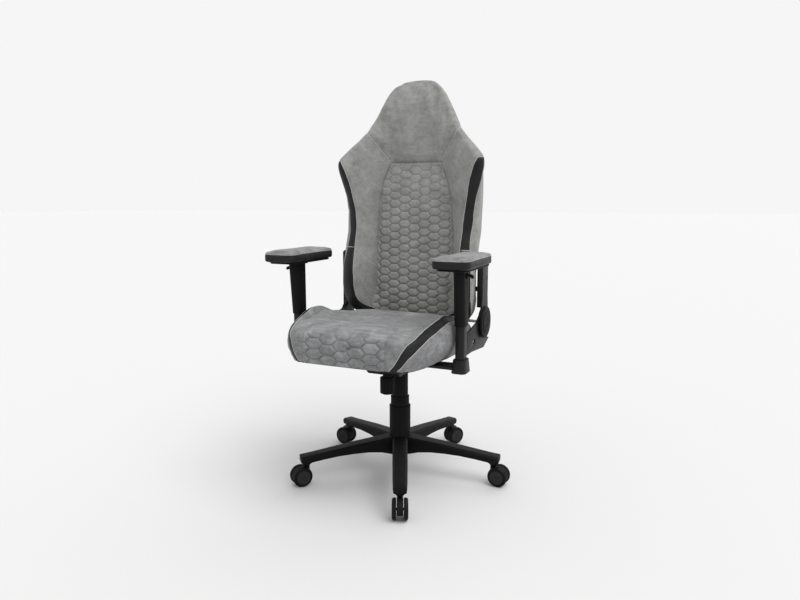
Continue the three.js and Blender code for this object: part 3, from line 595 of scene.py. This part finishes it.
def honeycomb(x, z, pitch):
    """Distance to the nearest edge of a pattern of hexagons with corners at their two sides."""
    column, row = pitch
    side = column / 1.5
    reach = math.sqrt(3) / 2 * side
    stretch = 2 * reach / row
    u, v = x, z * stretch
    nearest = None
    for shift in (0.0, 0.5):
        du = np.abs(u - (np.round(u / (3 * side) - shift) + shift) * 3 * side)
        dv = np.abs(v - (np.round(v / (2 * reach) - shift) + shift) * 2 * reach)
        slanted = math.sqrt(0.75) * du + dv / 2
        metric = np.maximum(slanted, dv)
        edge = np.minimum(
            (reach - dv) / stretch, (reach - slanted) / math.sqrt(0.75 + stretch**2 / 4)
        )
        if nearest is None:
            nearest, best = edge, metric
        else:
            nearest = np.where(metric < best, edge, nearest)
    return np.maximum(nearest, 0)


def groove(distance, depth, width):
    return -depth * np.exp(-((distance / width) ** 2))


def pillow(from_edge, reach):
    """0 at a cell's edge, rising steeply and then gently to 1 at the given distance from it."""
    return 1 - (1 - np.clip(from_edge / reach, 0, 1)) ** 3


def fade(value, low, high):
    """0 below low, 1 above high, smooth between."""
    t = np.clip((value - low) / (high - low), 0, 1)
    return t * t * (3 - 2 * t)


def folds(points, scale, seed):
    """Low, long creases, from a few sine waves in fixed directions."""
    result = np.zeros(len(points))
    for i in range(5):
        turn = seed + i * 2.4
        direction = np.array([math.cos(turn), math.sin(turn * 1.7), math.sin(turn)])
        result += np.sin(points @ direction * scale * (1 + 0.37 * i) + turn * 3) / (1 + i)
    return result


def set_zones(piece, materials, zone):
    """Gives each face the material of the zone that its corners are mostly in."""
    mesh = piece.data
    mesh.materials.clear()
    for material in materials:
        mesh.materials.append(material)
    corners = np.empty(len(mesh.loops), int)
    mesh.loops.foreach_get("vertex_index", corners)
    starts = np.empty(len(mesh.polygons), int)
    mesh.polygons.foreach_get("loop_start", starts)
    sums = np.add.reduceat(zone[corners], starts)
    totals = np.empty(len(mesh.polygons), int)
    mesh.polygons.foreach_get("loop_total", totals)
    mesh.polygons.foreach_set("material_index", np.round(sums / totals).astype(np.int32))
    mesh.update()


# ---------------------------------------------------------------- backrest


class BackSeams:
    """Distances from each of the backrest's seams, for a set of points on its surface."""

    def __init__(self, points):
        self.across = np.abs(points[:, 0] - AXIS.x)
        self.depth = points[:, 1] - AXIS.y
        self.height = points[:, 2]
        self.front = self.depth < BACK_FRONT_DEPTH
        edge = along_table(BACK_PANEL_EDGE, self.height)
        self.panel = np.minimum(edge - self.across, BACK_PANEL_TOP - self.height)
        inner = self.across - along_table(BACK_STRIP_INNER, self.height)
        outer = along_table(BACK_STRIP_OUTER, self.height) - self.across - self.depth
        self.strip = np.minimum(np.minimum(inner, outer), BACK_STRIP_TOP - self.height)
        self.neck, self.by_neck = off_line(NECK_SEAM, self.across, self.height)
        self.wing, self.by_wing = off_line(WING_SEAM, self.across, self.height)


def back_pinned(points):
    seams = BackSeams(points)
    near = np.abs(seams.panel) < 0.005
    near |= (np.abs(seams.strip) < HELD_WIDTH) | (seams.depth > 0.15)
    near |= (np.abs(seams.neck) < HELD_WIDTH) & seams.by_neck
    return near


def back_crowned(points):
    """All but the lower edge, which keeps its square corner behind the seat."""
    return points[:, 2] > BACK_SQUARE_EDGE


def headrest(points):
    return points[:, 2] > HEADREST_START


def back_cushion():
    smoothing = [(back_crowned, 14), (headrest, 60)]
    piece = padded_shape("back_cushion", "backrest_cushion", BACK_STUFFING, smoothing, back_pinned)
    refine(piece, quilted_back)
    mesh = piece.data
    points, normals = points_of(mesh), normals_of(mesh)
    seams = BackSeams(points)
    raised = groove(seams.panel, *BACK_PANEL_SEAM) * seams.front
    raised += groove(seams.strip, *BACK_STRIP_SEAM)
    raised += groove(seams.neck, *NECK_GROOVE) * (seams.by_neck & seams.front)
    raised += groove(seams.wing, *WING_GROOVE) * (seams.by_wing & seams.front)
    cells = honeycomb(points[:, 0] - AXIS.x, seams.height - BACK_PANEL_TOP, BACK_HONEYCOMB)
    plump = BACK_PLUMP_LOW - BACK_PLUMP_LOSS * fade(seams.height, 0.72, 1.03)
    inside = fade(seams.panel, 0.0, PANEL_EASE) * seams.front
    raised += plump * (pillow(cells, BACK_PILLOW) - BACK_PILLOW_LEVEL) * inside
    raised += folds(points, 38, 0.7) * 0.0006 * (1 - inside) * seams.front
    moved = points + normals * raised[:, None]
    sag = fade(seams.across, 0.09, 0.15) * (1 - fade(seams.height, 0.51, 0.58))
    moved[:, 2] -= CORNER_SAG * sag
    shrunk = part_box("back_cushion")[1].z - moved[:, 2].max()
    moved[:, 2] += shrunk * fade(seams.height, 1.14, 1.28)
    move_points(mesh, moved)
    set_zones(piece, [GREY_SUEDE, LEATHERETTE], (seams.strip > 0).astype(int))
    mesh.shade_smooth()
    finish_padding(piece, "backrest", "back_cushion")
    back_piping(mesh, seams)


def quilted_back(points):
    seams = BackSeams(points)
    return (seams.panel > -0.004) & seams.front & (seams.height > 0.53)


def back_piping(mesh, seams):
    """Piping along the black strips, and the pale thread in the shoulder and wing seams and
    across the strips."""
    everywhere = np.ones(len(seams.panel), bool)
    piping = seam_lines(mesh, seams.strip, everywhere, 0.0006)
    finished(tubes("backrest_piping", piping, 0.0011), PIPING, "backrest", "grey_suede")
    stitched = seam_lines(mesh, seams.neck, seams.by_neck & seams.front, 0.0011)
    stitched += seam_lines(mesh, seams.wing, seams.by_wing & seams.front, 0.0003)
    stitched += seam_lines(mesh, seams.height - WING_SEAM[0][1], seams.strip > 0, 0.0002, 0.01)
    finished(tubes("backrest_seam_thread", stitched, 0.001), THREAD, "backrest", "grey_suede")


def finish_padding(piece, body, node):
    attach(piece, body)
    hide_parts(node)


# ---------------------------------------------------------------- seat


class SeatSeams:
    """Distances from each of the seat's seams, for a set of points on its surface."""

    def __init__(self, points):
        self.across = np.abs(points[:, 0] - AXIS.x)
        self.depth = points[:, 1] - AXIS.y
        self.height = points[:, 2]
        reach = self.height + self.depth
        inner = self.across - along_table(SEAT_STRIP_INNER, reach)
        outer = along_table(SEAT_STRIP_OUTER, reach) - self.across
        above = self.height - along_table(SEAT_STRIP_LOWEST, self.depth)
        self.strip = np.minimum(np.minimum(inner, outer), above)
        self.crest = np.exp(-((inner / SEAT_CREST_WIDTH) ** 2)) * fade(reach, 0.20, 0.27)
        self.crest *= 1 - fade(reach, 0.42, 0.50)
        low, high = SEAT_PANEL_HEIGHTS
        self.panel = np.minimum(
            SEAT_PANEL_HALF_WIDTH - self.across,
            np.minimum(self.height - low, SEAT_PANEL_DEPTH - self.depth),
        )
        self.side_seam = self.across - SEAT_PANEL_HALF_WIDTH
        self.quilt_fade = 1 - fade(self.height, high - 0.012, high + 0.004)
        self.seam_fade = 1 - fade(self.depth, -0.36, -0.24)
        self.above = self.height > SEAT_LOWEST_SEAM


def seat_pinned(points):
    seams = SeatSeams(points)
    near = (np.abs(seams.strip) < HELD_WIDTH) | (seams.height < 0.462)
    near |= (np.abs(seams.side_seam) < HELD_WIDTH) & (seams.depth < -0.34)
    return near


def seat_crowned(points):
    """All but the lower rim, which is pulled tight round the pan."""
    return points[:, 2] > SEAT_RIM


def seat_cushion():
    smoothing = [(seat_crowned, 8)]
    piece = padded_shape("seat_cushion", "seat_upholstery", SEAT_STUFFING, smoothing, seat_pinned)
    refine(piece, lambda points: SeatSeams(points).panel > -0.004)
    mesh = piece.data
    points, normals = points_of(mesh), normals_of(mesh)
    seams = SeatSeams(points)
    raised = groove(seams.strip, *SEAT_STRIP_SEAM) * seams.above
    raised += groove(seams.side_seam, *SEAT_SIDE_SEAM) * seams.seam_fade * seams.above
    cells = honeycomb(points[:, 0] - AXIS.x, seams.height - SEAT_QUILT_START, SEAT_HONEYCOMB)
    inside = fade(seams.panel, 0.0, PANEL_EASE) * seams.quilt_fade
    raised += SEAT_PLUMP * (pillow(cells, SEAT_PILLOW) - SEAT_PILLOW_LEVEL) * inside
    flat = (normals[:, 2] > -0.3) * (1 - inside)
    raised += folds(points, 42, 2.1) * 0.0009 * flat
    moved = points + normals * raised[:, None]
    moved[:, 2] += SEAT_CREST_RISE * seams.crest * seams.above
    move_points(mesh, moved)
    materials = [PALE_SUEDE, LEATHERETTE, LINING]
    zone = ((seams.strip > 0) & seams.above).astype(int)
    zone[normals[:, 2] < -0.7] = materials.index(LINING)
    set_zones(piece, materials, zone)
    mesh.shade_smooth()
    finish_padding(piece, "seat", "seat_cushion")
    on_top = seams.above & (normals[:, 2] > -0.5)
    piping = seam_lines(mesh, seams.strip, on_top, 0.0006)
    finished(tubes("seat_piping", piping, 0.0012), PIPING, "seat", "pale_suede")


# ---------------------------------------------------------------- armrests


def armrest_pad(side):
    """Black leatherette sides under a suede top, sewn together along the upper edge."""
    node = f"armrest_pad_{side}"
    low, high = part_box(node)
    split = high.z - PAD_SUEDE_THICKNESS

    def pinned(points):
        return points[:, 2] < low.z + HELD_WIDTH

    def crowned(points):
        return points[:, 2] > low.z + HELD_WIDTH

    piece = padded_shape(node, f"armrest_{side}_pad", PAD_STUFFING, [(crowned, 3)], pinned)
    mesh = piece.data
    points, normals = points_of(mesh), normals_of(mesh)
    field = points[:, 2] - split
    raised = groove(field, *PAD_SEAM)
    raised += folds(points, 60, 1.3) * 0.0003
    move_points(mesh, points + normals * raised[:, None])
    set_zones(piece, [LEATHERETTE, PALE_SUEDE], (field > 0).astype(int))
    mesh.shade_smooth()
    finish_padding(piece, node, node)
    everywhere = np.ones(len(field), bool)
    seam = tubes(f"armrest_{side}_pad_piping", seam_lines(mesh, field, everywhere, 0.0003), 0.0008)
    finished(seam, PIPING, node, "pale_suede")


def armrest(side):
    body = f"armrest_{side}"
    dressed(f"armrest_bracket_{side}", STEEL, "seat", "painted_steel", 0.0012)
    dressed(f"armrest_post_{side}", STEEL, "seat", "painted_steel", 0.001)
    dressed(f"armrest_sleeve_{side}", NYLON, body, "black_nylon", 0.0014)
    dressed(f"armrest_lever_{side}", NYLON, f"armrest_lever_{side}", "black_nylon", 0.0012)
    dressed(f"armrest_slider_{side}", NYLON, f"armrest_pad_{side}", "black_nylon", 0.0022)
    turntable(side)
    armrest_pad(side)


def turntable(side):
    """A disc on top of the sleeve, with a neck that goes down into it."""
    node = f"armrest_turntable_{side}"
    low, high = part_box(node)
    centre = (low + high) / 2
    radius = (high.x - low.x) / 2
    neck_radius = 0.0078
    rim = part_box(f"armrest_sleeve_{side}")[1].z + 0.0003
    outline = [
        (0, low.z), (neck_radius, low.z), (neck_radius, rim), (radius - 0.001, rim),
        (radius, rim + 0.001), (radius, high.z - 0.0015), (radius - 0.0015, high.z), (0, high.z),
    ]
    disc = turned(f"{node}_shape", outline, (centre.x, centre.y, 0), (0, 0, 1))
    finished(disc, NYLON, f"armrest_turn_{side}", "black_nylon", node)


# ---------------------------------------------------------------- base, casters and column


def caster(number):
    body = f"caster_{number}"
    dressed(f"caster_hood_{number}", NYLON, body, "black_nylon", 0.0016)
    node = f"caster_stem_{number}"
    low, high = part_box(node)
    centre = (low + high) / 2
    length = high.z - low.z
    pin = [(0, 0), (0.0055, 0), (0.0055, 0.04), (0.004, length), (0, length)]
    stem = turned(f"{node}_shape", pin, (centre.x, centre.y, low.z), (0, 0, 1), 32)
    finished(stem, BRIGHT, body, "bright_steel", node)
    for letter, outward in (("a", 1), ("b", -1)):
        caster_wheel(number, letter, outward)


def caster_wheel(number, letter, outward):
    """A wheel with a rounded tread and a groove round its paler hub cap."""
    joint = JOINTS[f"caster_{number}_wheel_{letter}"]
    node = f"caster_wheel_{number}{letter}"
    low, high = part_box(node)
    radius = (high.z - low.z) / 2
    axle = Vector(joint["axis"]) * outward
    centre = (low + high) / 2
    inner, outer = -WHEEL_WIDTH / 2, WHEEL_WIDTH / 2
    bore = 0.0043
    hub_radius = radius - 0.0095
    middle = Vector((centre.x, centre.y, radius + low.z))
    outline = [
        (bore, inner), (radius - 0.004, inner), (radius - 0.0012, inner + 0.0006),
        (radius, inner + 0.002), (radius, outer - 0.0062), (radius - 0.0008, outer - 0.0036),
        (radius - 0.003, outer - 0.0012), (radius - 0.0052, outer - 0.0004),
        (radius - 0.0062, outer - 0.0004), (radius - 0.0070, outer - 0.0014),
        (radius - 0.0084, outer - 0.0014), (radius - 0.0094, outer - 0.0004),
        (radius * 0.5, outer), (0.0075, outer), (0.0065, outer - 0.0008), (0, outer - 0.0008),
        (0, outer - 0.004), (bore, outer - 0.004),
    ]
    wheel = turned(f"{node}_shape", outline, middle, axle, 80)
    finished(wheel, TREAD, node, "tread_nylon", node)
    wheel.data.materials.append(HUB)
    axis = axle.normalized()
    for face in wheel.data.polygons:
        arm = face.center - middle
        if (arm - axis * arm.dot(axis)).length < hub_radius:
            face.material_index = 1


def cover(name, body):
    """A telescopic sleeve with a rounded lip at its top."""
    low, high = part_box(name)
    radius = (high.x - low.x) / 2
    wall = 0.0014
    height = high.z - low.z
    lip = radius + 0.0004
    outline = [
        (radius - wall, 0), (radius, 0), (radius, height - 0.004), (lip, height - 0.0035),
        (lip, height - 0.0012), (radius - 0.0002, height), (radius - wall, height),
    ]
    piece = turned(f"{name}_shape", outline, (AXIS.x, AXIS.y, low.z), (0, 0, 1), 96)
    finished(piece, NYLON, body, "black_nylon", name)


def column():
    cover("cover_lower", "base")
    cover("cover_middle", "cover_middle")
    cover("cover_upper", "mechanism")
    dressed("lift_tube", STEEL, "base", "painted_steel", 0.0006)
    dressed("lift_rod", BRIGHT, "lift", "bright_steel", 0.0006)


def mechanism():
    dressed("mechanism_housing", STEEL, "mechanism", "painted_steel", 0.001)
    dressed("tilt_pin", BRIGHT, "mechanism", "bright_steel", 0.0006)
    dressed("mechanism_plate", STEEL, "seat", "painted_steel", 0.001)
    dressed("height_lever", STEEL, "height_lever", "painted_steel", 0.0008)
    dressed("seat_pan", LINING, "seat", "plywood", 0.001)
    dressed("tension_knob", NYLON, "tension_knob", "black_nylon", 0.0006)


# ---------------------------------------------------------------- recline hardware


def recline(side):
    """The hinge's bracket and arm. The flange inside the arm is made a little longer."""
    dressed(f"recline_bracket_{side}", STEEL, "seat", "painted_steel", 0.0008)
    arm = dressed(f"recline_arm_{side}", STEEL, "backrest", "painted_steel", 0.0008)
    for vertex in arm.data.vertices:
        inside = abs(vertex.co.x - AXIS.x) < STIFFENER_OUTSIDE
        if inside and abs(vertex.co.z - STIFFENER_FOOT) < 0.003:
            vertex.co.z -= STIFFENER_EXTENSION
    recline_cover(side)


def recline_cover(side):
    """A round cap with a raised ring, bored for the lever's rod on the sitter's right."""
    node = f"recline_cover_{side}"
    low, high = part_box(node)
    radius = (high.z - low.z) / 2
    sign = SIDES[side]
    inner = low.x if sign > 0 else high.x
    depth = high.x - low.x
    bore = 0.0053 if side == "right" else 0.0
    outline = [
        (bore, 0), (radius, 0), (radius, depth - 0.0045), (radius - 0.0006, depth - 0.0028),
        (radius - 0.0025, depth - 0.0016), (radius * 0.72, depth - 0.0014),
        (radius * 0.70, depth - 0.0024), (radius * 0.66, depth - 0.0024),
        (radius * 0.64, depth - 0.0004), (radius * 0.58, depth), (radius * 0.34, depth),
        (radius * 0.32, depth - 0.001), (bore, depth - 0.001),
    ]
    centre = (low + high) / 2
    disc = turned(f"{node}_shape", outline, (inner, centre.y, centre.z), (sign, 0, 0), 96)
    finished(disc, NYLON, "backrest", "black_nylon", node)


# ---------------------------------------------------------------- the chair

back_cushion()
seat_cushion()
for side in SIDES:
    armrest(side)
    recline(side)
for number in CASTERS:
    caster(number)
column()
mechanism()
dressed("five_star_base", NYLON, "base", "black_nylon", 0.0012)
dressed("back_frame", STEEL, "backrest", "painted_steel", 0.0006)
dressed("back_panel", SHELL, "backrest", "black_shell", 0.0016)
dressed("recline_lever", NYLON, "recline_lever", "black_nylon", 0.0014)
dressed("recline_sync_rod", BRIGHT, "recline_lever", "bright_steel", 0.0004)

# ---------------------------------------------------------------- stage, light and camera


def stage():
    """A plain pale floor that meets an equally pale sky."""
    reach = 60
    corners = [(-reach, -reach, 0), (reach, -reach, 0), (reach, reach, 0), (-reach, reach, 0)]
    floor = new_piece("floor", corners, [(0, 1, 2, 3)])
    shader = Shader("pale_floor", Base_Color=(0.606, 0.606, 0.606, 1), Roughness=1.0)
    floor.data.materials.append(shader.finish())
    world = bpy.data.worlds.new("studio")
    world.use_nodes = True
    sky = world.node_tree.nodes["Background"]
    sky.inputs["Color"].default_value = (1, 1, 1, 1)
    sky.inputs["Strength"].default_value = 0.92
    bpy.context.scene.world = world
    bpy.context.scene.view_settings.view_transform = "Standard"


def soft_sun(name, direction, strength, spread):
    """An even light from far away, so that the floor has the same shade as far as it goes."""
    light = bpy.data.lights.new(name, "SUN")
    light.energy = strength
    light.angle = math.radians(spread)
    lamp = bpy.data.objects.new(name, light)
    lamp.rotation_euler = (-Vector(direction)).to_track_quat("-Z", "Y").to_euler()
    bpy.context.scene.collection.objects.link(lamp)


def camera():
    """At the height of the armrests' top, 24 degrees round to the sitter's left."""
    turn, distance, height, pitch = math.radians(24), 2.06, 0.90, math.radians(8.65)
    data = bpy.data.cameras.new("camera")
    data.lens = 28.8
    data.sensor_width = 36
    eye = bpy.data.objects.new("camera", data)
    eye.location = (
        AXIS.x + distance * math.sin(turn), AXIS.y - distance * math.cos(turn), height
    )
    eye.rotation_euler = (math.pi / 2 - pitch, 0, turn)
    bpy.context.scene.collection.objects.link(eye)
    bpy.context.scene.camera = eye


stage()
soft_sun("key_light", (1.2, -0.45, 2.1), 1.8, 45)
soft_sun("rim_light", (0.4, 1.6, 1.4), 0.5, 60)
camera()
